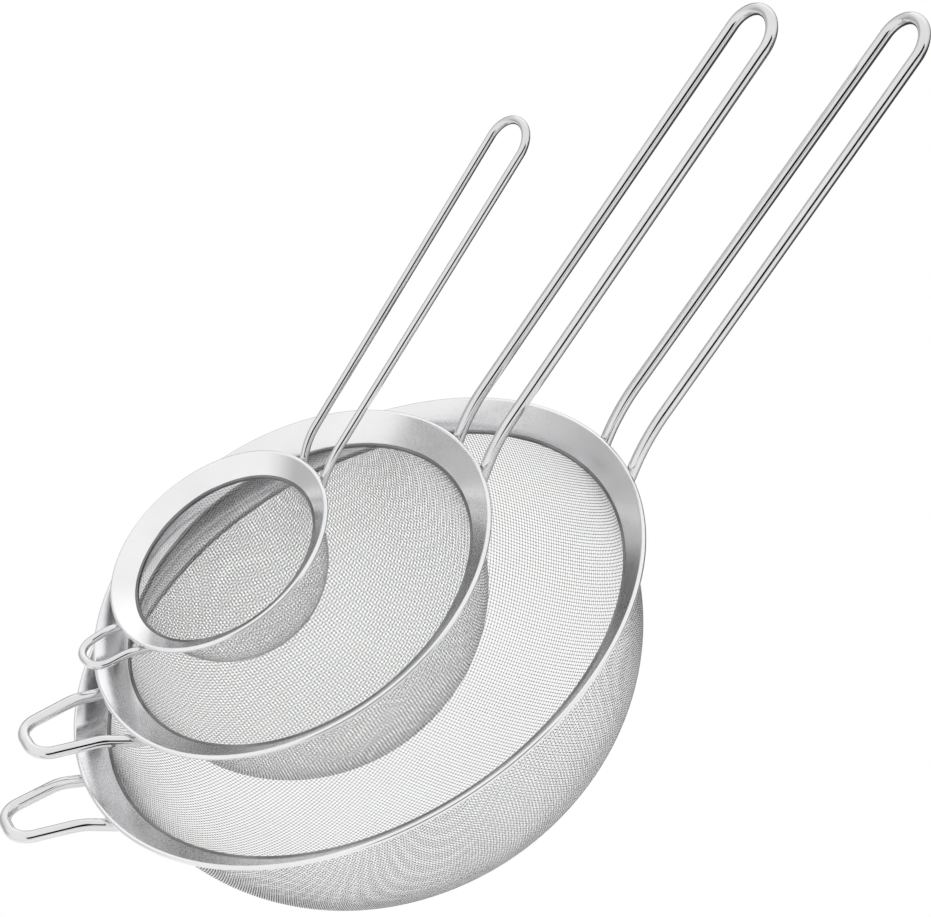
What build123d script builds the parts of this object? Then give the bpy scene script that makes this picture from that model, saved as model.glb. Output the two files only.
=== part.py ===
"""Set of three nested fine-mesh strainers: large, medium and small.

Each strainer is a pressed sheet-steel rim band with a rolled outer edge, a woven
wire-cloth bowl held in the band's collar by a retaining ring, a long U-shaped wire
handle and, opposite it, a short wire rest hook, both spot-welded under the band.
The medium strainer sits in the large one and the small strainer in the medium one.

Frame: millimetres, +Z up, +X towards the large handle, origin at the lowest point
of the large bowl, on its axis.
"""
import os
from collections import namedtuple
from math import atan2, cos, degrees, hypot, radians, sin, tan

from build123d import *

# Sheet, cloth and edge, the same on all three strainers
SHEET = 0.4  # band sheet thickness
CURL_R = 0.85  # outside radius of the rolled edge
CURL_SWEEP = 279  # degrees that the sheet is rolled round the core wire
CORE_R = 0.40  # core wire in the rolled edge
FLANGE_SLOPE = 39  # degrees the conical flange rises outwards
COLLAR_HEIGHT = 1.7  # short vertical collar under the flange
CLOTH = 0.45  # thickness of the woven cloth, crest to crest
RING_WALL = 0.35  # retaining ring, wall and lip
RING_HEIGHT = 1.1
GAP = 0.02  # assembly clearance between the clamped parts
SHOULDER = 0.95  # shoulder radius of the bowl as a share of its depth
WIRE_GAP = 0.05  # bent wires pass this far under the rolled edge
FOOT_SLOPE = 10  # degrees, wire end lying under the flange
ROOT_BEND = 2.5  # radius of the first bend, in wire radii
TIP_FLAT = 0.2  # half the straight run left in the middle of a wire's tip
WELD_R = 1.1  # weld bead, as a share of the wire radius

# A bent wire: the two slopes of its legs in degrees, how far past the rim they meet and the
# radius of that bend, the length from there to the tip, and half the distance between the legs
# at the root, the bend and the tip
Wire = namedtuple("Wire", "rise bend_out bend_radius slope reach root_w bend_w tip_w")

# A strainer: outside radius of the rolled edge, radial width of the band, depth of the cloth
# below the collar, wire radius, and how far inside the rim the wires are welded
Size = namedtuple("Size", "rim_r flange bowl_depth wire_r foot handle hook")

SIZES = {
    "large": Size(
        100, 9.25, 75.5, 2.0, 6.6,
        handle=Wire(42, 9.0, 75, 27.0, 156.5, 10.3, 10.3, 9.8),
        hook=Wire(38, 6.4, 18, 17.0, 21.0, 13.3, 11.9, 7.9),
    ),
    "medium": Size(
        71.5, 9.4, 55.0, 2.0, 6.6,
        handle=Wire(42, 7.5, 60, 25.0, 161.5, 10.2, 10.2, 10.0),
        hook=Wire(38, 7.3, 18, 21.0, 20.8, 14.6, 12.2, 8.0),
    ),
    "small": Size(
        40.8, 7.1, 33.0, 1.4, 5.0,
        handle=Wire(42, 5.2, 30, 20.8, 125.8, 6.8, 8.1, 9.0),
        hook=Wire(32, 4.0, 12, 15.0, 11.5, 8.4, 7.9, 7.1),
    ),
}

Section = namedtuple("Section", "curl_r curl_z top_r top_z under_r under_z collar_r collar_top collar_low")


def band_section(s):
    """Corner points of the rim band's section, as (radius, height below the rim)."""
    b = radians(FLANGE_SLOPE)
    curl_r, curl_z = s.rim_r - CURL_R, -CURL_R
    top_r, top_z = curl_r - CURL_R * sin(b), curl_z + CURL_R * cos(b)
    under_r = curl_r - (CURL_R - SHEET) * sin(b)
    under_z = curl_z + (CURL_R - SHEET) * cos(b)
    collar_r = s.rim_r - s.flange
    collar_top = top_z - (top_r - collar_r) * tan(b)
    return Section(curl_r, curl_z, top_r, top_z, under_r, under_z, collar_r, collar_top, collar_top - COLLAR_HEIGHT)


def bowl_section(s):
    """Radii and centres of the bowl's shoulder and bottom arcs, on its outside face."""
    wall_r = s.rim_r - s.flange - GAP
    top = band_section(s).collar_low
    shoulder = SHOULDER * s.bowl_depth
    bottom = ((wall_r - shoulder) ** 2 / (s.bowl_depth - shoulder) + shoulder + s.bowl_depth) / 2
    return wall_r, top, shoulder, bottom


def total_depth(s):
    """Height of the rim over the lowest point of the bowl."""
    return s.bowl_depth - band_section(s).collar_low


# Seats: the centre of each rim's top plane, and how the nested ones lean
LARGE_RIM_Z = total_depth(SIZES["large"])
SEATS = {
    "large": Plane((0, 0, LARGE_RIM_Z)),
    "medium": Plane((-9.4, 25.8, LARGE_RIM_Z + 8.9)).rotated((2.9, -2.7, 1.5), ordering=Extrinsic.XYZ),
    "small": Plane((-23.3, 50.0, LARGE_RIM_Z + 16.6)).rotated((2.2, -5.9, 7.4), ordering=Extrinsic.XYZ),
}


def section_plane(seat):
    """The plane of the revolved sections: x is the radius, y the height."""
    return Plane(origin=seat.origin, x_dir=seat.x_dir, z_dir=-seat.y_dir)


def on_circle(centre, radius, angle):
    """The point of a circle at an angle in degrees."""
    return (centre[0] + radius * cos(radians(angle)), centre[1] + radius * sin(radians(angle)))


def save(part, name):
    """Label a finished piece and write it as parts/name.step."""
    part.label = name
    export_step(part, f"parts/{name}.step")


def rim_band(name, s, seat):
    """Conical flange, rolled edge and short collar, pressed from one sheet."""
    p = band_section(s)
    start = 90 + FLANGE_SLOPE
    end, middle = start - CURL_SWEEP, start - CURL_SWEEP / 2
    curl = (p.curl_r, p.curl_z)
    under_collar_z = p.under_z - (p.under_r - p.collar_r - SHEET) * tan(radians(FLANGE_SLOPE))
    with BuildPart() as band:
        with BuildSketch(section_plane(seat)):
            with BuildLine():
                Polyline(
                    (p.top_r, p.top_z),
                    (p.collar_r, p.collar_top),
                    (p.collar_r, p.collar_low),
                    (p.collar_r + SHEET, p.collar_low),
                    (p.collar_r + SHEET, under_collar_z),
                    (p.under_r, p.under_z),
                )
                ThreePointArc(
                    (p.under_r, p.under_z),
                    on_circle(curl, CURL_R - SHEET, middle),
                    on_circle(curl, CURL_R - SHEET, end),
                )
                Line(on_circle(curl, CURL_R - SHEET, end), on_circle(curl, CURL_R, end))
                ThreePointArc(
                    on_circle(curl, CURL_R, end), on_circle(curl, CURL_R, middle), (p.top_r, p.top_z)
                )
            make_face()
        revolve(axis=Axis(seat.origin, seat.z_dir))
    save(band.part, f"{name}_rim_band")
    return band.part


def core_wire(name, s, seat):
    """Round wire that the band's edge is rolled round."""
    p = band_section(s)
    with BuildPart() as core:
        with BuildSketch(section_plane(seat)):
            with Locations((p.curl_r, p.curl_z)):
                Circle(CORE_R)
        revolve(axis=Axis(seat.origin, seat.z_dir))
    save(core.part, f"{name}_rim_core_wire")


def retaining_ring(name, s, seat):
    """Ring of L section that covers the cloth's cut edge and clamps it in the collar."""
    p = band_section(s)
    wall_out = p.collar_r - CLOTH - 2 * GAP
    wall_in = wall_out - RING_WALL
    top = p.collar_top
    with BuildPart() as ring:
        with BuildSketch(section_plane(seat)):
            with BuildLine():
                Polyline(
                    (wall_in, top),
                    (p.collar_r - GAP, top),
                    (p.collar_r - GAP, top - RING_WALL),
                    (wall_out, top - RING_WALL),
                    (wall_out, top - RING_HEIGHT),
                    (wall_in, top - RING_HEIGHT),
                    close=True,
                )
            make_face()
        revolve(axis=Axis(seat.origin, seat.z_dir))
    save(ring.part, f"{name}_mesh_retaining_ring")


def mesh_bowl(name, s, seat):
    """The cloth bowl as a closed shell: straight edge, shoulder arc and bottom arc."""
    wall_r, top, shoulder, bottom = bowl_section(s)
    edge = band_section(s).collar_top - RING_WALL - GAP
    shoulder_c = (wall_r - shoulder, top)
    bottom_c = (0, top - s.bowl_depth + bottom)
    join = degrees(atan2(shoulder_c[1] - bottom_c[1], shoulder_c[0] - bottom_c[0]))
    with BuildPart() as bowl:
        with BuildSketch(section_plane(seat)):
            with BuildLine():
                for inset in (0, CLOTH):
                    Line((wall_r - inset, edge), (wall_r - inset, top))
                    ThreePointArc(
                        (wall_r - inset, top),
                        on_circle(shoulder_c, shoulder - inset, join / 2),
                        on_circle(bottom_c, bottom - inset, join),
                    )
                    ThreePointArc(
                        on_circle(bottom_c, bottom - inset, join),
                        on_circle(bottom_c, bottom - inset, (join - 90) / 2),
                        (0, bottom_c[1] - bottom + inset),
                    )
                Line((wall_r, edge), (wall_r - CLOTH, edge))
                Line((0, bottom_c[1] - bottom), (0, bottom_c[1] - bottom + CLOTH))
            make_face()
        revolve(axis=Axis(seat.origin, seat.z_dir))
    save(bowl.part, f"{name}_mesh_bowl")


def wire_root(s, rise):
    """Where a bent wire starts under the flange and where it turns up, as (radius, height)."""
    p = band_section(s)
    f, r, b = radians(FOOT_SLOPE), radians(rise), radians(FLANGE_SLOPE)
    corner_r = s.rim_r - s.foot
    corner_z = p.under_z - (p.under_r - corner_r) * tan(b) - WIRE_GAP / cos(b)
    foot = (corner_r + s.wire_r * sin(f), corner_z - s.wire_r * cos(f))
    clear = s.wire_r + CURL_R + WIRE_GAP
    past = (p.curl_r + clear * sin(r), p.curl_z - clear * cos(r))
    turn_r = (past[1] - foot[1] + foot[0] * tan(f) - past[0] * tan(r)) / (tan(f) - tan(r))
    return foot, (turn_r, foot[1] + (turn_r - foot[0]) * tan(f))


def bent_wire(name, s, seat, side, w):
    """U-shaped round wire, welded under the flange: up past the rolled edge, then flatter to its tip.

    side is +1 for the handle and -1 for the hook opposite it.
    """
    foot, turn = wire_root(s, w.rise)
    bend_r = s.rim_r + w.bend_out
    bend_z = turn[1] + (bend_r - turn[0]) * tan(radians(w.rise))
    tip_r = bend_r + w.reach * cos(radians(w.slope))
    tip_z = bend_z + w.reach * sin(radians(w.slope))
    leg = [
        (foot[0], w.root_w, foot[1]),
        (turn[0], w.root_w, turn[1]),
        (bend_r, w.bend_w, bend_z),
        (tip_r, w.tip_w, tip_z),
    ]
    out = [seat.from_local_coords((side * r, y, z)) for r, y, z in leg]
    back = [seat.from_local_coords((side * r, -y, z)) for r, y, z in reversed(leg)]
    radii = [ROOT_BEND * s.wire_r, w.bend_radius, w.tip_w - TIP_FLAT]
    with BuildPart() as wire:
        with BuildLine() as path:
            FilletPolyline(*out, *back, radius=radii + radii[::-1])
        with BuildSketch(Plane(origin=path.line @ 0, z_dir=path.line % 0)):
            Circle(s.wire_r)
        sweep(path=path.line)
    save(wire.part, name)
    return wire.part


def welds(name, s, seat, side, w, wire, band):
    """Two weld beads, each between a wire's end and the flange above it."""
    foot = wire_root(s, w.rise)[0]
    bead_r = WELD_R * s.wire_r
    x = foot[0] + 0.45 * s.wire_r
    z = foot[1] + 0.55 * s.wire_r
    with BuildPart() as beads:
        with Locations(*[seat.from_local_coords((side * x, y, z)) for y in (-w.root_w, w.root_w)]):
            Sphere(bead_r)
        add(wire, mode=Mode.SUBTRACT)
        add(band, mode=Mode.SUBTRACT)
    save(beads.part, name)


os.makedirs("parts", exist_ok=True)
for size_name, size in SIZES.items():
    size_seat = SEATS[size_name]
    flange = rim_band(size_name, size, size_seat)
    core_wire(size_name, size, size_seat)
    retaining_ring(size_name, size, size_seat)
    mesh_bowl(size_name, size, size_seat)
    handle = bent_wire(f"{size_name}_handle_wire", size, size_seat, 1, size.handle)
    hook = bent_wire(f"{size_name}_rest_hook", size, size_seat, -1, size.hook)
    welds(f"{size_name}_handle_welds", size, size_seat, 1, size.handle, handle, flange)
    welds(f"{size_name}_hook_welds", size, size_seat, -1, size.hook, hook, flange)
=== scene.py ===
"""Looks of a set of three nested strainers: woven wire bowls, polished bands and bent wires.

Each strainer is built in its own frame, in millimetres: the origin is the centre of the rim's
top plane, z the bowl's axis and x towards the handle. That frame is read from the CAD nodes.
"""
from collections import namedtuple
from math import atan2, ceil, cos, pi, radians, sin, tan

import bpy
import numpy as np
from mathutils import Matrix, Vector


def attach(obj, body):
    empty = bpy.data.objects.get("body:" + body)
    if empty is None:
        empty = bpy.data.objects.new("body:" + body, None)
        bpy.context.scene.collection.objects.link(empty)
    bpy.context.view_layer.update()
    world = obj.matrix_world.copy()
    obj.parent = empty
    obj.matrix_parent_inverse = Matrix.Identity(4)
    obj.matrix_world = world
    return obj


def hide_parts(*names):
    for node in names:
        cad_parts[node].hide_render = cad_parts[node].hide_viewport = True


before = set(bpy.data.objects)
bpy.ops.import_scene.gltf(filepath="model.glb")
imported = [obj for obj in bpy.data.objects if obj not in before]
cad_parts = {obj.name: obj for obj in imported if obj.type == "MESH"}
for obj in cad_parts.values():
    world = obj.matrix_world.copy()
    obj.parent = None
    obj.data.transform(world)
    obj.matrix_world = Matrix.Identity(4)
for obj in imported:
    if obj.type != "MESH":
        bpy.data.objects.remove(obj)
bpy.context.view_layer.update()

MM = 0.001

# ---------------------------------------------------------------- dimensions in millimetres
SHEET = 0.4  # band sheet thickness
CURL_R = 0.85  # outside radius of the rolled edge
CURL_SWEEP = 279  # degrees that the sheet is rolled round the core wire
CORE_R = 0.40
FLANGE_SLOPE = 39  # degrees the conical flange rises outwards
COLLAR_HEIGHT = 1.7
BAND_BENDS = [0, 0.6, 0.1, 0.1, 0.25, 0]  # radii at the corners of the band's section
CLOTH = 0.45  # thickness of the woven cloth, crest to crest
RING_WALL = 0.35
RING_HEIGHT = 1.1
RING_BENDS = [0.2, 0.1, 0.1, 0, 0, 0.08]  # radii at the corners of the ring's section
GAP = 0.02  # assembly clearance between the clamped parts
SHOULDER = 0.95  # shoulder radius of the bowl as a share of its depth
WIRE_GAP = 0.05  # bent wires pass this far under the rolled edge
FOOT_SLOPE = 10  # degrees, wire end lying under the flange
ROOT_BEND = 2.5  # radius of the first bend, in wire radii
TIP_FLAT = 0.2  # half the straight run left in the middle of a wire's tip
CUT_BEVEL = 0.25
WIRE_STEP = 4.0  # longest run of a bent wire's mesh
WIRE_SIDES = 48
INSET = 0.03  # keeps the faceted circles inside the CAD's box
SHARP = 40  # degrees between two faces, past which the edge between them is sharp

# A weld bead, in wire radii: its radius, and its middle out from the wire's end and up; then the
# share of its radius that its lumps take away, how flat it is, and how far its poles are cut
WELD_R = 1.1
WELD_AT = (0.45, 0.55)
WELD_LUMPS = 0.05
WELD_FLAT = 0.86
WELD_POLE = 0.06  # radians

PITCH = 25.4 / 22  # 22 mesh to the inch
CLOTH_SIDES = 6
PIECE_FACES = 95000  # most quads in one piece of cloth
SETTLING = 8  # rounds that settle a crossing at one pitch from its neighbours
STUB = 0.15  # shortest end of a wire past its last crossing, as a share of the pitch
UV_FILL = 0.9  # share of a wire's strip of the UV square that the wire covers

# A bent wire: slopes of its legs in degrees, how far past the rim they meet and the radius of
# that bend, the length from there to the tip, and half the distance between the legs
Wire = namedtuple("Wire", "rise bend_out bend_radius slope reach root_w bend_w tip_w")

# A strainer: radius of its bent wires, how far inside the rim they are welded, radius of the
# cloth's wires, the degrees from the handle to the cloth's warp, and the bent wires
Size = namedtuple("Size", "wire_r foot cloth_r warp handle hook")

SIZES = {
    "large": Size(
        2.0, 6.6, 0.086, 27,
        handle=Wire(42, 9.0, 75, 27.0, 156.5, 10.3, 10.3, 9.8),
        hook=Wire(38, 6.4, 18, 17.0, 21.0, 13.3, 11.9, 7.9),
    ),
    "medium": Size(
        2.0, 6.6, 0.071, -3,
        handle=Wire(42, 7.5, 60, 25.0, 161.5, 10.2, 10.2, 10.0),
        hook=Wire(38, 7.3, 18, 21.0, 20.8, 14.6, 12.2, 8.0),
    ),
    "small": Size(
        1.4, 5.0, 0.060, 56,
        handle=Wire(42, 5.2, 30, 20.8, 125.8, 6.8, 8.1, 9.0),
        hook=Wire(32, 4.0, 12, 15.0, 11.5, 8.4, 7.9, 7.1),
    ),
}


# ---------------------------------------------------------------- one strainer's frame
class Strainer:
    """A strainer's frame and sizes, read from its CAD nodes."""

    def __init__(self, name, size):
        self.name, self.size = name, size
        self.body = f"{name}_strainer"
        core = self.node_points("rim_core_wire")
        middle = (core.min(0) + core.max(0)) / 2
        axis = np.linalg.svd(core - core.mean(0), full_matrices=False)[2][2]
        axis *= np.sign(axis[2])
        handle = self.node_points("handle_wire").mean(0) - middle
        x = handle - axis * handle.dot(axis)
        x /= np.linalg.norm(x)
        self.turn = np.stack([x, np.cross(axis, x), axis], 1)
        self.origin = middle + axis * CURL_R
        band = self.local("rim_band")
        radii = np.hypot(band[:, 0], band[:, 1])
        self.rim_r, self.collar_r = radii.max() - INSET, radii.min()
        self.lowest = self.local("mesh_bowl")[:, 2].min()
        self.matrix = Matrix.Translation(self.origin * MM) @ Matrix(self.turn.tolist()).to_4x4()

    def node_points(self, piece):
        """A CAD node's vertices, in millimetres in the row frame."""
        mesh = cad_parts[f"{self.name}_{piece}"].data
        co = np.zeros(len(mesh.vertices) * 3)
        mesh.vertices.foreach_get("co", co)
        return co.reshape(-1, 3) / MM

    def local(self, piece):
        return (self.node_points(piece) - self.origin) @ self.turn

    def add(self, obj, material, slot, *nodes):
        """Put a piece made in the strainer's frame in place, on its body, for those CAD nodes."""
        obj.data.transform(self.matrix)
        obj.data.materials.append(material)
        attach(obj, self.body)
        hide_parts(*[f"{self.name}_{n}" for n in nodes])


# ---------------------------------------------------------------- meshes
def mesh_object(name, points, groups, uvs, spread, sharp=SHARP):
    """A smooth mesh from points in millimetres, groups of faces of one size each and their UVs.

    spread is the width and height of the whole UV square in millimetres. A second UV map holds
    those lengths, for the grain of the steel.
    """
    mesh = bpy.data.meshes.new(name)
    mesh.vertices.add(len(points))
    mesh.vertices.foreach_set("co", (np.asarray(points) * MM).astype(np.float32).ravel())
    corners = np.concatenate([g.ravel() for g in groups]).astype(np.int32)
    sizes = np.concatenate([np.full(len(g), g.shape[1]) for g in groups])
    starts = (np.cumsum(sizes) - sizes).astype(np.int32)
    mesh.loops.add(len(corners))
    mesh.loops.foreach_set("vertex_index", corners)
    mesh.polygons.add(len(sizes))
    mesh.polygons.foreach_set("loop_start", starts)
    mesh.polygons.foreach_set("use_smooth", np.ones(len(sizes), bool))
    mesh.update(calc_edges=True)
    uv = np.concatenate([u.reshape(-1, 2) for u in uvs])
    for name_of_map, scale in (("OFBake", (1, 1)), ("grain", spread)):
        layer = mesh.uv_layers.new(name=name_of_map)
        layer.uv.foreach_set("vector", (uv * scale).astype(np.float32).ravel())
    if sharp:
        mesh.set_sharp_from_angle(angle=radians(sharp))
    obj = bpy.data.objects.new(name, mesh)
    bpy.context.scene.collection.objects.link(obj)
    return obj


def grid_faces(rows_at, cols, closed):
    """Quads between neighbouring rows of a grid whose columns wrap round, and their UVs.

    rows_at is how far up the UV square each row lies, and a closed grid ends with its first row.
    """
    rows = len(rows_at) - 1 if closed else len(rows_at)
    r = np.arange(len(rows_at) - 1)[:, None]
    c = np.arange(cols)[None, :]
    below, across = (r + 1) % rows, (c + 1) % cols
    faces = np.stack(
        [r * cols + c, r * cols + across, below * cols + across, below * cols + c], -1
    ).reshape(-1, 4)
    u0, v0, v1 = np.broadcast_arrays(c / cols, rows_at[r], rows_at[r + 1])
    u1 = u0 + 1 / cols
    uv = np.stack([u0, v0, u1, v0, u1, v1, u0, v1], -1).reshape(-1, 4, 2)
    return faces, uv


def lengths_along(line):
    """Distance from the line's start to each of its points."""
    return np.concatenate([[0], np.cumsum(np.linalg.norm(np.diff(line, axis=0), axis=1))])


def revolved(name, profile, segments=720):
    """A closed profile of (radius, height) turned about the axis."""
    r, z = np.array(profile).T
    a = np.linspace(0, 2 * pi, segments, endpoint=False)
    points = np.stack(
        [r[:, None] * np.cos(a), r[:, None] * np.sin(a), np.repeat(z[:, None], segments, 1)], -1
    ).reshape(-1, 3)
    length = lengths_along(np.array([*profile, profile[0]]))
    faces, uv = grid_faces(length / length[-1], segments, True)
    return mesh_object(name, points, [faces], [uv], (2 * pi * r.mean(), length[-1]))


def rounded(points, radii, steps):
    """A line through points with each corner replaced by an arc of that radius."""
    p = [np.array(q, float) for q in points]
    out = []
    for i, (q, radius) in enumerate(zip(p, radii)):
        if not radius:
            out.append(q)
            continue
        before, after = p[i - 1] - q, p[(i + 1) % len(p)] - q
        before /= np.linalg.norm(before)
        after /= np.linalg.norm(after)
        half = np.arccos(np.clip(before.dot(after), -1, 1)) / 2
        bisector = (before + after) / np.linalg.norm(before + after)
        centre = q + bisector * radius / sin(half)
        start = q + before * radius / tan(half) - centre
        end = q + after * radius / tan(half) - centre
        sweep = pi - 2 * half
        for t in np.linspace(0, 1, steps + 1):
            spoke = (start * sin((1 - t) * sweep) + end * sin(t * sweep)) / sin(sweep)
            out.append(centre + spoke)
    return np.array(out)


def resampled(line, step):
    """The line with more points on its long runs."""
    out = [line[0]]
    for a, b in zip(line, line[1:]):
        n = max(1, ceil(np.linalg.norm(b - a) / step))
        out += [a + (b - a) * k / n for k in range(1, n + 1)]
    return np.array(out)


def tube(name, line, radius):
    """A round wire along a line, with its two cut ends bevelled."""
    sides, bevel = WIRE_SIDES, CUT_BEVEL
    t = np.gradient(line, axis=0)
    t /= np.linalg.norm(t, axis=1)[:, None]
    n = np.cross(t[0], (0.0, 1.0, 0.0))
    rings = []
    for i in range(len(line)):
        n = n - t[i] * n.dot(t[i])
        n /= np.linalg.norm(n)
        rings.append((line[i], n, np.cross(t[i], n), radius))
    first, last = rings[0], rings[-1]
    rings[0] = (first[0] + t[0] * bevel, first[1], first[2], radius)
    rings[-1] = (last[0] - t[-1] * bevel, last[1], last[2], radius)
    rings = [(first[0], first[1], first[2], radius - bevel)] + rings
    rings += [(last[0], last[1], last[2], radius - bevel)]
    a = np.linspace(0, 2 * pi, sides, endpoint=False)[:, None]
    points = np.concatenate([c + r * (np.cos(a) * u + np.sin(a) * v) for c, u, v, r in rings])
    length = lengths_along(np.array([ring[0] for ring in rings]))
    faces, uv = grid_faces(length / length[-1], sides, False)
    caps = np.stack([np.arange(sides)[::-1], (len(rings) - 1) * sides + np.arange(sides)])
    cap_uv = np.full((2, sides, 2), 0.002)
    return mesh_object(name, points, [faces, caps], [uv, cap_uv], (2 * pi * radius, length[-1]))


# ---------------------------------------------------------------- band, ring and core wire
def arc_points(centre, radius, start, end, steps):
    a = np.radians(np.linspace(start, end, steps + 1))
    return [(centre[0] + radius * cos(x), centre[1] + radius * sin(x)) for x in a]


Section = namedtuple(
    "Section", "curl_r curl_z top_r top_z under_r under_z collar_r collar_top collar_low"
)


def band_section(s):
    """Corner points of the rim band's section, as (radius, height below the rim)."""
    b = radians(FLANGE_SLOPE)
    curl_r, curl_z = s.rim_r - CURL_R, -CURL_R
    top_r, top_z = curl_r - CURL_R * sin(b), curl_z + CURL_R * cos(b)
    under_r = curl_r - (CURL_R - SHEET) * sin(b)
    under_z = curl_z + (CURL_R - SHEET) * cos(b)
    collar_top = top_z - (top_r - s.collar_r) * tan(b)
    collar_low = collar_top - COLLAR_HEIGHT
    return Section(
        curl_r, curl_z, top_r, top_z, under_r, under_z, s.collar_r, collar_top, collar_low
    )


def rim_band(s, material):
    """Pressed flange with a soft bend into its collar, and its outer edge rolled over."""
    p = band_section(s)
    start = 90 + FLANGE_SLOPE
    end = start - CURL_SWEEP
    curl = (p.curl_r, p.curl_z)
    under_collar_z = p.under_z - (p.under_r - p.collar_r - SHEET) * tan(radians(FLANGE_SLOPE))
    corners = [
        (p.top_r, p.top_z),
        (p.collar_r, p.collar_top),
        (p.collar_r, p.collar_low),
        (p.collar_r + SHEET, p.collar_low),
        (p.collar_r + SHEET, under_collar_z),
        (p.under_r, p.under_z),
    ]
    sheet = rounded(corners, BAND_BENDS, steps=8)
    roll = arc_points(curl, CURL_R - SHEET, start, end, 40)[1:]
    back = arc_points(curl, CURL_R, end, start, 60)[:-1]
    profile = list(map(tuple, sheet)) + roll + back
    s.add(revolved(f"{s.name}_band", profile[::-1]), material, "polished_sheet", "rim_band")


def core_wire(s, material):
    p = band_section(s)
    circle = arc_points((p.curl_r, p.curl_z), CORE_R, 0, 360, 24)[:-1]
    s.add(revolved(f"{s.name}_edge_wire", circle, 360), material, "core_wire", "rim_core_wire")


def retaining_ring(s, material):
    p = band_section(s)
    wall_out = p.collar_r - CLOTH - 2 * GAP
    wall_in = wall_out - RING_WALL
    top = p.collar_top
    corners = [
        (wall_in, top),
        (wall_in, top - RING_HEIGHT),
        (wall_out, top - RING_HEIGHT),
        (wall_out, top - RING_WALL),
        (p.collar_r - GAP, top - RING_WALL),
        (p.collar_r - GAP, top),
    ]
    profile = rounded(corners, RING_BENDS, steps=6)
    s.add(revolved(f"{s.name}_ring", profile), material, "ring_strip", "mesh_retaining_ring")


# ---------------------------------------------------------------- bent wires and welds
def wire_root(s, rise):
    """Where a bent wire starts under the flange and where it turns up, as (radius, height)."""
    p, wire_r = band_section(s), s.size.wire_r
    f, r, b = radians(FOOT_SLOPE), radians(rise), radians(FLANGE_SLOPE)
    corner_r = s.rim_r - s.size.foot
    corner_z = p.under_z - (p.under_r - corner_r) * tan(b) - WIRE_GAP / cos(b)
    foot = (corner_r + wire_r * sin(f), corner_z - wire_r * cos(f))
    clear = wire_r + CURL_R + WIRE_GAP
    past = (p.curl_r + clear * sin(r), p.curl_z - clear * cos(r))
    turn_r = (past[1] - foot[1] + foot[0] * tan(f) - past[0] * tan(r)) / (tan(f) - tan(r))
    return foot, (turn_r, foot[1] + (turn_r - foot[0]) * tan(f))


def bent_wire(s, piece, node, side, w, material):
    """U-shaped wire from under the flange, up past the rolled edge and out to its tip."""
    wire_r = s.size.wire_r
    foot, turn = wire_root(s, w.rise)
    bend_r = s.rim_r + w.bend_out
    bend_z = turn[1] + (bend_r - turn[0]) * tan(radians(w.rise))
    tip_r = bend_r + w.reach * cos(radians(w.slope))
    tip_z = bend_z + w.reach * sin(radians(w.slope))
    leg = [
        (side * foot[0], w.root_w, foot[1]),
        (side * turn[0], w.root_w, turn[1]),
        (side * bend_r, w.bend_w, bend_z),
        (side * tip_r, w.tip_w, tip_z),
    ]
    corners = leg + [(x, -y, z) for x, y, z in reversed(leg)]
    radii = [ROOT_BEND * wire_r, w.bend_radius, w.tip_w - TIP_FLAT]
    line = rounded(corners, [0] + radii + radii[::-1] + [0], steps=32)
    obj = tube(f"{s.name}_{piece}", resampled(line, WIRE_STEP), wire_r)
    s.add(obj, material, "polished_wire", node)


def welds(s, piece, node, side, w, material):
    """Two small lumpy beads where the wire's ends meet the flange."""
    wire_r = s.size.wire_r
    foot = wire_root(s, w.rise)[0]
    x, z = foot[0] + WELD_AT[0] * wire_r, foot[1] + WELD_AT[1] * wire_r
    rows, cols = 24, 36
    lat = np.linspace(-pi / 2 + WELD_POLE, pi / 2 - WELD_POLE, rows)[:, None]
    lon = np.linspace(0, 2 * pi, cols, endpoint=False)[None, :]
    points, groups, uvs = [], [], []
    for k, y in enumerate((-w.root_w, w.root_w)):
        waves = np.sin(3 * lon + 2 * lat + k) * np.cos(4 * lat - lon + 2 * k)
        r = WELD_R * wire_r * (1 - WELD_LUMPS * (1 + waves)) * np.ones((rows, 1))
        flat = r * np.cos(lat)
        grid = np.stack([flat * np.cos(lon), flat * np.sin(lon), r * np.sin(lat)], -1)
        grid = grid * (1, 1, WELD_FLAT) + (side * x, y, z)
        faces, uv = grid_faces(np.linspace(0, 1, rows), cols, False)
        caps = np.stack([np.arange(cols)[::-1], (rows - 1) * cols + np.arange(cols)])
        base = k * rows * cols
        points.append(grid.reshape(-1, 3))
        groups += [faces + base, caps + base]
        uvs += [uv * (0.5, 1) + (0.5 * k, 0), np.zeros((2, cols, 2)) + 0.01]
    spread = (4 * pi * wire_r, pi * wire_r)
    obj = mesh_object(f"{s.name}_{piece}", np.concatenate(points), groups, uvs, spread)
    s.add(obj, material, "weld_metal", node)


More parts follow.
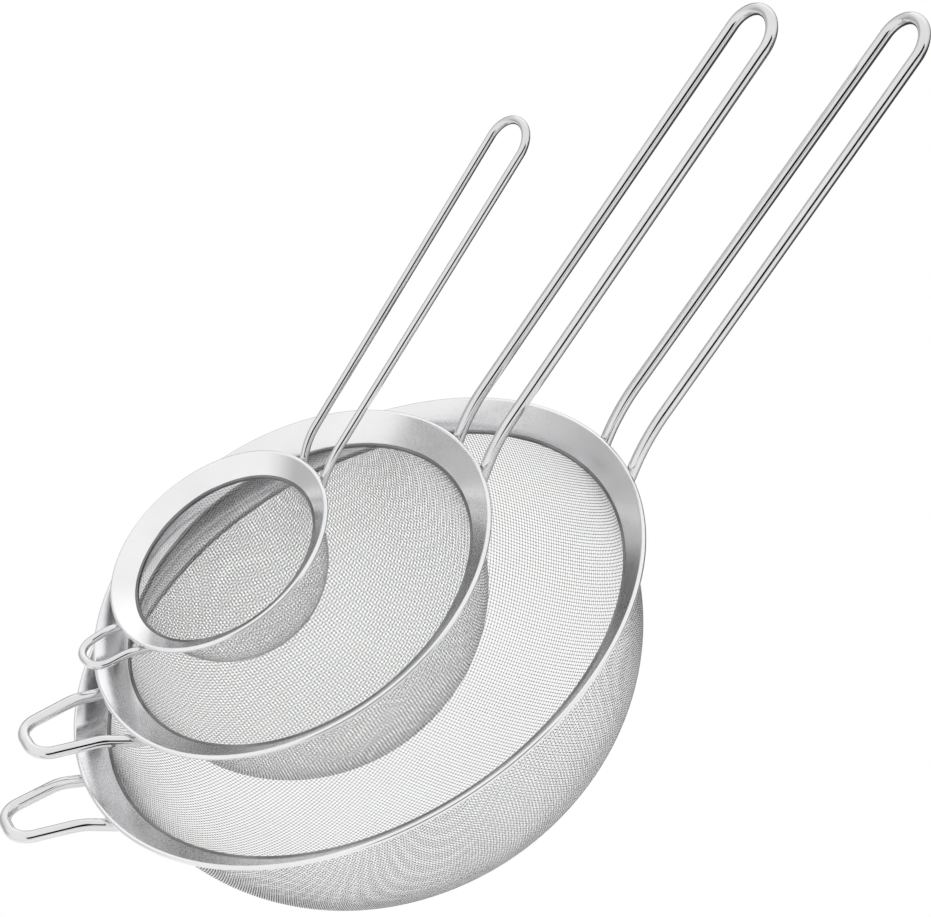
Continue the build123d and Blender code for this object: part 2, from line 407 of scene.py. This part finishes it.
# ---------------------------------------------------------------- woven cloth
class Bowl:
    """The middle surface of the cloth: a flat bottom arc, a shoulder arc and a straight edge."""

    def __init__(self, s):
        p = band_section(s)
        depth = p.collar_low - s.lowest
        wall_r = s.collar_r - GAP
        shoulder = SHOULDER * depth
        bottom = ((wall_r - shoulder) ** 2 / (depth - shoulder) + shoulder + depth) / 2
        self.top = p.collar_low
        self.edge = p.collar_top - RING_WALL - GAP
        self.shoulder_r = wall_r - shoulder
        self.bottom_z = self.top - depth + bottom
        self.join = atan2(self.shoulder_r, self.bottom_z - self.top)
        self.shoulder, self.bottom = shoulder - CLOTH / 2, bottom - CLOTH / 2
        self.wire_r = s.size.cloth_r

    def project(self, p):
        """The nearest points of the surface, and its outward normals there."""
        r = np.maximum(np.hypot(p[..., 0], p[..., 1]), 1e-9)
        z = p[..., 2]
        low = np.arctan2(r, self.bottom_z - z) <= self.join
        straight = ~low & (z >= self.top)
        centre_r = np.where(low, 0, self.shoulder_r)
        centre_z = np.where(low, self.bottom_z, np.where(straight, z, self.top))
        radius = np.where(low, self.bottom, self.shoulder)
        d_r, d_z = r - centre_r, z - centre_z
        d = np.hypot(d_r, d_z)
        n_r, n_z = d_r / d, d_z / d
        new_r = centre_r + n_r * radius
        out = p[..., :2] / r[..., None]
        new_z = centre_z + n_z * radius
        point = np.concatenate([out * new_r[..., None], new_z[..., None]], -1)
        return point, np.concatenate([out * n_r[..., None], n_z[..., None]], -1)

    def meridian(self, lengths):
        """Radius and height at distances along the surface, and where its straight edge starts."""
        flat = self.bottom * self.join
        curved = flat + self.shoulder * (pi / 2 - self.join)
        a = np.minimum(lengths, flat) / self.bottom
        b = self.join + (np.clip(lengths, flat, curved) - flat) / self.shoulder
        up = np.maximum(lengths - curved, 0)
        low = lengths <= flat
        r_high = self.shoulder_r + self.shoulder * np.sin(b)
        z_low = self.bottom_z - self.bottom * np.cos(a)
        z_high = self.top - self.shoulder * np.cos(b)
        r, z = np.where(low, self.bottom * np.sin(a), r_high), np.where(low, z_low, z_high)
        return r, z + up, curved


def cloth_net(bowl):
    """Crossings of the cloth pressed over the bowl, every side of a cell one pitch long."""
    curved = bowl.meridian(np.zeros(1))[2]
    n = ceil((curved + bowl.edge - bowl.top) / PITCH) + 2
    r, z = bowl.meridian(np.arange(n + 1) * PITCH)[:2]
    net = np.full((n + 1, n + 1, 3), np.nan)
    net[:, 0] = np.stack([r, 0 * r, z], 1)
    net[0, :] = np.stack([0 * r, r, z], 1)
    for d in range(2, 2 * n + 1):
        i = np.arange(max(1, d - n), min(n, d - 1) + 1)
        j = d - i
        a, b, c = net[i - 1, j], net[i, j - 1], net[i - 1, j - 1]
        a = np.where((a[:, 2:] > bowl.edge) & (b[:, 2:] > bowl.edge), np.nan, a)
        q = a + b - c
        for _ in range(SETTLING):
            for side in (a, b):
                away = q - side
                q = q + away * (PITCH / np.linalg.norm(away, axis=1) - 1)[:, None]
            q = bowl.project(q)[0]
        net[i, j] = q
    return net


def whole_net(quarter):
    """The quarter of the net mirrored into the other three."""
    n = len(quarter) - 1
    k = np.arange(-n, n + 1)
    net = quarter[abs(k)][:, abs(k)].copy()
    net[:, :, 0] *= np.where(k < 0, -1, 1)[:, None]
    net[:, :, 1] *= np.where(k < 0, -1, 1)[None, :]
    return net


def turned(points, degrees):
    a = radians(degrees)
    return points @ np.array([[cos(a), sin(a), 0], [-sin(a), cos(a), 0], [0, 0, 1]])


def cloth_lines(net, bowl, phase):
    """One family of wires, each a line of crossings cut off at the cloth's edge."""
    normals = bowl.project(net)[1]
    k = np.arange(len(net))
    over = np.where((k[:, None] + k[None, :] + phase) % 2, 1.0, -1.0)[..., None]
    wires = net + normals * over * bowl.wire_r
    lines = []
    for row, line, normal in zip(net, wires, normals):
        inside = np.flatnonzero(row[:, 2] < bowl.edge)
        if len(inside) < 3:
            continue
        first, last = inside[0], inside[-1]
        points, out = [line[first : last + 1]], [normal[first : last + 1]]
        for end, beyond in ((first, first - 1), (last, last + 1)):
            if 0 <= beyond < len(row) and not np.isnan(row[beyond, 2]):
                share = (bowl.edge - row[end, 2]) / (row[beyond, 2] - row[end, 2])
                if share > STUB:
                    tip = line[end] + (line[beyond] - line[end]) * share
                    where = 0 if beyond < end else len(points)
                    points.insert(where, tip[None])
                    out.insert(where, normal[end][None])
        lines.append((np.concatenate(points), np.concatenate(out)))
    return lines


def cloth_piece(name, lines, radius):
    """Thin round wires along the lines, as one mesh."""
    points, groups, uvs, base = [], [], [], 0
    longest = max(len(line) for line, _ in lines)
    a = np.linspace(0, 2 * pi, CLOTH_SIDES, endpoint=False)[None, :, None]
    for k, (line, normal) in enumerate(lines):
        t = np.gradient(line, axis=0)
        side = np.cross(t, normal)
        side /= np.linalg.norm(side, axis=1)[:, None]
        up = np.cross(side, t)
        up /= np.linalg.norm(up, axis=1)[:, None]
        ring = line[:, None] + radius * (np.cos(a) * up[:, None] + np.sin(a) * side[:, None])
        faces, uv = grid_faces(np.arange(len(line)) / longest, CLOTH_SIDES, False)
        uv = uv * (UV_FILL / len(lines), 1) + (k / len(lines), 0)
        around = np.arange(CLOTH_SIDES)
        ends = np.stack([around, len(line) * CLOTH_SIDES - 1 - around])
        points.append(ring.reshape(-1, 3))
        groups.append((faces[:, ::-1] + base, ends + base))
        uvs.append((uv[:, ::-1], np.full((2, CLOTH_SIDES, 2), 0.001)))
        base += len(line) * CLOTH_SIDES
    quads, caps = zip(*groups)
    quad_uv, cap_uv = zip(*uvs)
    return mesh_object(
        name,
        np.concatenate(points),
        [np.concatenate(quads), np.concatenate(caps)],
        [np.concatenate(quad_uv), np.concatenate(cap_uv)],
        (len(lines) * 2 * pi * radius, longest * PITCH),
        sharp=0,
    )


def woven_bowl(s, material):
    """Warp and weft of the pressed cloth, in as many pieces as their size needs."""
    bowl = Bowl(s)
    net = turned(whole_net(cloth_net(bowl)), s.size.warp)
    for family, crossings, phase in (("warp", net, 0), ("weft", net.transpose(1, 0, 2), 1)):
        lines = cloth_lines(crossings, bowl, phase)
        faces = np.cumsum([len(line) * CLOTH_SIDES for line, _ in lines])
        count = ceil(faces[-1] / PIECE_FACES)
        cuts = [0, *np.searchsorted(faces, faces[-1] * np.arange(1, count) / count), len(lines)]
        for part in range(count):
            share = lines[cuts[part] : cuts[part + 1]]
            name = f"{s.name}_{family}_wires_{part + 1}"
            s.add(cloth_piece(name, share, bowl.wire_r), material, "woven_cloth", "mesh_bowl")


# ---------------------------------------------------------------- materials
CLOUDS = 55  # clouds and specks of the steel to the metre
SPECKS = 900
WORN = (0.12, 0.4)  # range of the lines times the specks, from the smooth places to the worn
BUMP_HEIGHT = 0.00002  # metres
CROSSING_SHADE_EDGE = (-0.1, 0.7)  # painted shade of the cloth's crossings fades in over this cosine of the way along a wire, from clear of a crossing to the crossing
CLOTH_CLOUD_LOW = 0.8  # share of the light colour in the darkest clouds, clear of the crossings' painted shade


class Nodes:
    """A short way to write the nodes of a material or a world."""

    def __init__(self, owner):
        owner.use_nodes = True
        self.owner, self.tree = owner, owner.node_tree
        self.shader = self.tree.nodes.get("Principled BSDF")

    def add(self, kind, inputs=(), **settings):
        node = self.tree.nodes.new(kind)
        for key, value in settings.items():
            setattr(node, key, value)
        for key, value in dict(inputs).items():
            if isinstance(value, bpy.types.NodeSocket):
                self.tree.links.new(value, node.inputs[key])
            else:
                node.inputs[key].default_value = value
        return node

    def noise(self, place, scale, detail=3.0, rough=0.55):
        found = self.add(
            "ShaderNodeTexNoise",
            {"Vector": place, "Scale": scale, "Detail": detail, "Roughness": rough},
        )
        return found.outputs["Fac"]

    def ranged(self, value, low, high, start=0.3, end=0.7):
        found = self.add(
            "ShaderNodeMapRange",
            {"Value": value, "From Min": start, "From Max": end, "To Min": low, "To Max": high},
        )
        return found.outputs["Result"]

    def between(self, share, a, b):
        found = self.add("ShaderNodeMix", {"Factor": share}, data_type="RGBA")
        found.inputs["A"].default_value = (*a, 1)
        found.inputs["B"].default_value = (*b, 1)
        return found.outputs["Result"]

    def link(self, value, name):
        self.tree.links.new(value, self.shader.inputs[name])


def steel(name, light, dark, rough, grain, bump, crossing_shade):
    """Stainless steel: faint clouding in colour and gloss, and fine lines along the grain.

    grain is how many lines there are to the millimetre, round a piece and along it. With the
    crossing shade switched on, the dark colour is painted where the cloth's wires cross, as painted
    shade.
    """
    m = Nodes(bpy.data.materials.new(name))
    m.shader.inputs["Metallic"].default_value = 1.0
    place = m.add("ShaderNodeTexCoord").outputs["Object"]
    share = m.ranged(m.noise(place, CLOUDS), 0, 1)
    along = m.add("ShaderNodeUVMap", uv_map="grain").outputs["UV"]
    if crossing_shade:
        # Painted shade: the colour goes dark at each crossing of the cloth's wires, where they
        # touch and shade each other.
        length = m.add("ShaderNodeSeparateXYZ", {"Vector": along}).outputs["Y"]
        turns = m.add("ShaderNodeMath", {0: length, 1: 2 * pi / PITCH}, operation="MULTIPLY")
        turns = turns.outputs[0]
        crossing = m.add("ShaderNodeMath", {0: turns}, operation="COSINE").outputs[0]
        clear = m.ranged(crossing, 1, 0, *CROSSING_SHADE_EDGE)
        share = m.add("ShaderNodeMapRange", {"Value": share, "To Min": CLOTH_CLOUD_LOW})
        share = share.outputs["Result"]
        share = m.add("ShaderNodeMath", {0: share, 1: clear}, operation="MULTIPLY").outputs[0]
    m.link(m.between(share, dark, light), "Base Color")
    stretched = m.add("ShaderNodeVectorMath", {0: along, 1: (*grain, 0)}, operation="MULTIPLY")
    lines = m.noise(stretched.outputs[0], 1.0, 2.0)
    speck = m.noise(place, SPECKS, 2.0)
    worn = m.add("ShaderNodeMath", {0: lines, 1: speck}, operation="MULTIPLY").outputs[0]
    m.link(m.ranged(worn, *rough, *WORN), "Roughness")
    height = m.add("ShaderNodeBump", {"Height": lines, "Strength": bump, "Distance": BUMP_HEIGHT})
    m.link(height.outputs["Normal"], "Normal")
    return m.owner


# A steel: its name, its two colours, its roughness where smooth and where worn, the lines of its
# grain to the millimetre, round and along, how strong they are, and whether it has painted shade at
# crossings
Steel = namedtuple("Steel", "name light dark rough grain bump knots", defaults=[False])
STEELS = {
    "sheet": Steel(
        "polished_band_steel",
        (0.97, 0.97, 0.98), (0.91, 0.91, 0.92), (0.13, 0.22), (0.05, 6), 0.10,
    ),
    "wire": Steel(
        "polished_wire_steel",
        (0.85, 0.85, 0.86), (0.77, 0.77, 0.78), (0.06, 0.15), (4, 0.1), 0.05,
    ),
    # The cloth's dark colour is painted shade, laid only at the crossings of its wires.
    "cloth": Steel(
        "cloth_wire_steel",
        (0.97, 0.97, 0.97), (0.14, 0.14, 0.14), (0.08, 0.16), (9, 2), 0.05, True,
    ),
    # The ring's steel is painted dark: painted shade, standing for the shadow in the groove between
    # the band and the cloth.
    "strip": Steel(
        "retaining_strip_steel",
        (0.30, 0.30, 0.30), (0.16, 0.16, 0.16), (0.12, 0.25), (0.05, 6), 0.10,
    ),
    "core": Steel(
        "edge_wire_steel",
        (0.62, 0.61, 0.60), (0.45, 0.44, 0.42), (0.30, 0.50), (0.1, 5), 0.10,
    ),
    "weld": Steel(
        "weld_bead_steel",
        (0.66, 0.62, 0.57), (0.42, 0.38, 0.34), (0.28, 0.55), (2, 2), 0.30,
    ),
}


# ---------------------------------------------------------------- the set
def build():
    m = {kind: steel(*values) for kind, values in STEELS.items()}
    made = []
    for name, size in SIZES.items():
        s = Strainer(name, size)
        rim_band(s, m["sheet"])
        core_wire(s, m["core"])
        retaining_ring(s, m["strip"])
        woven_bowl(s, m["cloth"])
        bent_wire(s, "handle", "handle_wire", 1, size.handle, m["wire"])
        bent_wire(s, "hook", "rest_hook", -1, size.hook, m["wire"])
        welds(s, "handle_beads", "handle_welds", 1, size.handle, m["weld"])
        welds(s, "hook_beads", "hook_welds", -1, size.hook, m["weld"])
        made.append(s)
    return made


# ---------------------------------------------------------------- camera, floor and light
CAMERA_ELEVATION = 37.14  # degrees
CAMERA_YAW = 5.38
CAMERA_ROLL = 30.07
CAMERA_DISTANCE = 1203  # millimetres, from the plane through the large rim's centre
CAMERA_AIM = (35.82, 51.67)  # millimetres right and up, from that centre to the picture's
CAMERA_LENS = 146.1
FLOOR_SIZE = 12  # metres
FLOOR_DROP = 0.0005  # metres under the large bowl
FLOOR_ROUGH = 0.9
FLOOR_PAINTED_LIT = -140  # degrees, the side of the floor painted as lit, as the steel sees it: painted light
FLOOR_PAINTED_TONES = (0.04, 0.9)  # painted tones away from that side, and towards it
FLOOR_SHADE = (-0.14, -0.04)  # metres towards it, where the one tone turns into the other
FLOOR_FAR = 0.8  # the tone all round, far off
FLOOR_EDGE = (0.45, 0.75)  # metres from the middle, where the floor turns into that tone


def direction(azimuth, elevation):
    a, e = radians(azimuth), radians(elevation)
    return (cos(a) * cos(e), sin(a) * cos(e), sin(e))


def camera(target):
    e, w, roll = radians(CAMERA_ELEVATION), radians(CAMERA_YAW), radians(CAMERA_ROLL)
    right = Vector((cos(w), -sin(w), 0))
    up = Vector((sin(e) * sin(w), sin(e) * cos(w), cos(e)))
    toward = Vector((-cos(e) * sin(w), -cos(e) * cos(w), sin(e)))
    across = right * cos(roll) - up * sin(roll)
    upward = right * sin(roll) + up * cos(roll)
    place = target + across * CAMERA_AIM[0] + upward * CAMERA_AIM[1] + toward * CAMERA_DISTANCE
    data = bpy.data.cameras.new("camera")
    data.lens, data.sensor_width = CAMERA_LENS, 36
    obj = bpy.data.objects.new("camera", data)
    bpy.context.scene.collection.objects.link(obj)
    turn = Matrix((across, upward, toward)).transposed().to_4x4()
    obj.matrix_world = Matrix.Translation(place * MM) @ turn
    bpy.context.scene.camera = obj


def floor():
    """A floor that is plain white in the picture, and painted light and dark in the steel's
    reflections.
    """
    half = FLOOR_SIZE / 2
    mesh = bpy.data.meshes.new("floor")
    corners = [(-half, -half, 0), (half, -half, 0), (half, half, 0), (-half, half, 0)]
    mesh.from_pydata(corners, [], [(0, 1, 2, 3)])
    obj = bpy.data.objects.new("floor", mesh)
    obj.location.z = -FLOOR_DROP
    bpy.context.scene.collection.objects.link(obj)
    m = Nodes(bpy.data.materials.new("floor"))
    place = m.add("ShaderNodeTexCoord").outputs["Object"]
    # Painted light and shade: the floor's colour is light on one side and dark on the other, seen
    # only in the steel's reflections.
    lit = direction(FLOOR_PAINTED_LIT, 0)
    toward = m.add("ShaderNodeVectorMath", {0: place, 1: lit}, operation="DOT_PRODUCT")
    tone = m.ranged(toward.outputs["Value"], *FLOOR_PAINTED_TONES, *FLOOR_SHADE)
    away = m.add("ShaderNodeVectorMath", {0: place}, operation="LENGTH").outputs["Value"]
    away = m.ranged(away, 0, 1, *FLOOR_EDGE)
    tone = m.add("ShaderNodeMix", {"Factor": away, "A": tone, "B": FLOOR_FAR}).outputs["Result"]
    m.link(tone, "Base Color")
    m.shader.inputs["Roughness"].default_value = FLOOR_ROUGH
    white = m.add("ShaderNodeEmission")
    seen = m.add("ShaderNodeLightPath").outputs["Is Camera Ray"]
    both = m.add("ShaderNodeMixShader", {0: seen, 1: m.shader.outputs[0], 2: white.outputs[0]})
    m.tree.links.new(both.outputs[0], m.tree.nodes["Material Output"].inputs["Surface"])
    mesh.materials.append(m.owner)


# A region of the studio, in degrees: the middle of it, half its width and height, and how soft
# its edges are; and its tone
Region = namedtuple("Region", "azimuth elevation width height soft tone")
SURROUND = 0.92  # the tone of the rest
REGIONS = [
    Region(-95, 62, 60, 12, 6, 0.9),  # card over the camera, a little darker than the rest
    Region(53, 5, 28, 30, 12, 1.08),  # window beyond, on the right
    Region(128, 12, 30, 20, 12, 0.50),  # grey wall at the far left
    Region(84, 0, 11, 14, 5, 0.08),  # dark corner between the two
    Region(-90, 25, 37, 15, 3, 0.0),  # dark room behind the camera
]

# The key light: its direction in degrees, distance and diameter in metres, and power in watts
Key = namedtuple("Key", "azimuth elevation distance size power")
KEY = Key(-95, 82, 1.6, 2.0, 9)


def studio():
    """Pale surroundings with a few darker and brighter regions, which the polished steel shows."""
    world = bpy.data.worlds.new("studio")
    m = Nodes(world)
    place = m.add("ShaderNodeTexCoord").outputs["Generated"]
    z = m.add("ShaderNodeSeparateXYZ", {"Vector": place}).outputs["Z"]
    flat = m.add("ShaderNodeVectorMath", {0: place, 1: (1, 1, 0)}, operation="MULTIPLY").outputs[0]
    flat = m.add("ShaderNodeVectorMath", {0: flat}, operation="NORMALIZE").outputs[0]
    height = m.add("ShaderNodeMath", {0: z}, operation="ARCSINE").outputs[0]
    tone = m.add("ShaderNodeValue").outputs[0]
    tone.default_value = SURROUND
    for region in REGIONS:
        middle = radians(region.elevation)
        level = m.add("ShaderNodeMath", {0: height, 1: middle}, operation="SUBTRACT").outputs[0]
        level = m.add("ShaderNodeMath", {0: level}, operation="ABSOLUTE").outputs[0]
        toward = direction(region.azimuth, 0)
        side = m.add("ShaderNodeVectorMath", {0: flat, 1: toward}, operation="DOT_PRODUCT")
        side = m.add("ShaderNodeMath", {0: side.outputs["Value"]}, operation="ARCCOSINE").outputs[0]
        inside = []
        for distance, reach in ((level, region.height), (side, region.width)):
            edges = (radians(reach + region.soft), radians(reach - region.soft))
            inside.append(m.ranged(distance, 0, 1, *edges))
        share = m.add("ShaderNodeMath", dict(enumerate(inside)), operation="MULTIPLY").outputs[0]
        tone = m.add("ShaderNodeMix", {"Factor": share, "A": tone, "B": region.tone})
        tone = tone.outputs["Result"]
    m.tree.links.new(tone, m.tree.nodes["Background"].inputs["Color"])
    bpy.context.scene.world = world


def key_light(target):
    """A round soft light over the set, which the steel doesn't mirror."""
    data = bpy.data.lights.new("key", "AREA")
    data.shape, data.size, data.energy = "DISK", KEY.size, KEY.power
    obj = bpy.data.objects.new("key", data)
    bpy.context.scene.collection.objects.link(obj)
    away = Vector(direction(KEY.azimuth, KEY.elevation))
    obj.location = target + away * KEY.distance
    obj.rotation_euler = away.to_track_quat("Z", "Y").to_euler()
    obj.visible_glossy = False


strainers = build()
rim_centre = Vector(strainers[0].origin)
camera(rim_centre)
floor()
studio()
key_light(rim_centre * MM)
bpy.context.scene.view_settings.view_transform = "Standard"
